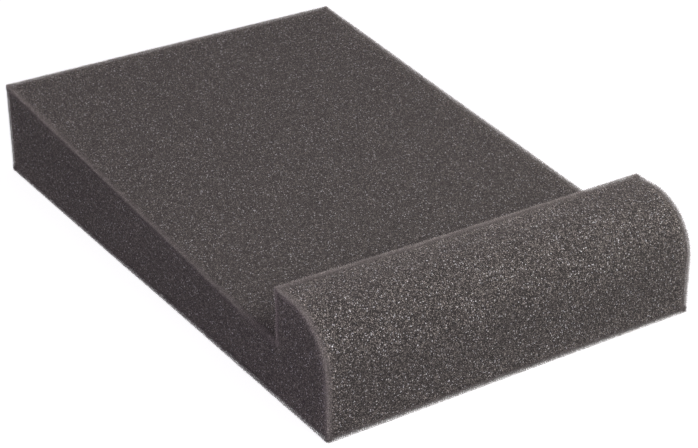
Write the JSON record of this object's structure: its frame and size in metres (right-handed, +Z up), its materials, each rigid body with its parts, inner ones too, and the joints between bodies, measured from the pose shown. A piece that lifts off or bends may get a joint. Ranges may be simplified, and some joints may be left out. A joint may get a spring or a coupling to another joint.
{
  "type": "speaker isolation pad",
  "caption": "Wedge of open-cell foam with a raised, round-nosed stop along its low end, on which a small loudspeaker stands tilted and cushioned from the desk.",
  "frame": {"origin": "on the underside, at the middle of the pad's width and depth", "axes": "+X across the width, +Y from the stop at the low end towards the thick end, +Z up from the underside"},
  "size_m": [0.19, 0.298, 0.0535],
  "materials": {
    "charcoal_foam": "matt open-cell polyurethane foam, charcoal grey, with a fine porous cut face"
  },
  "bodies": {
    "root": {"foam_pad": "charcoal_foam"}
  },
  "joints": []
}
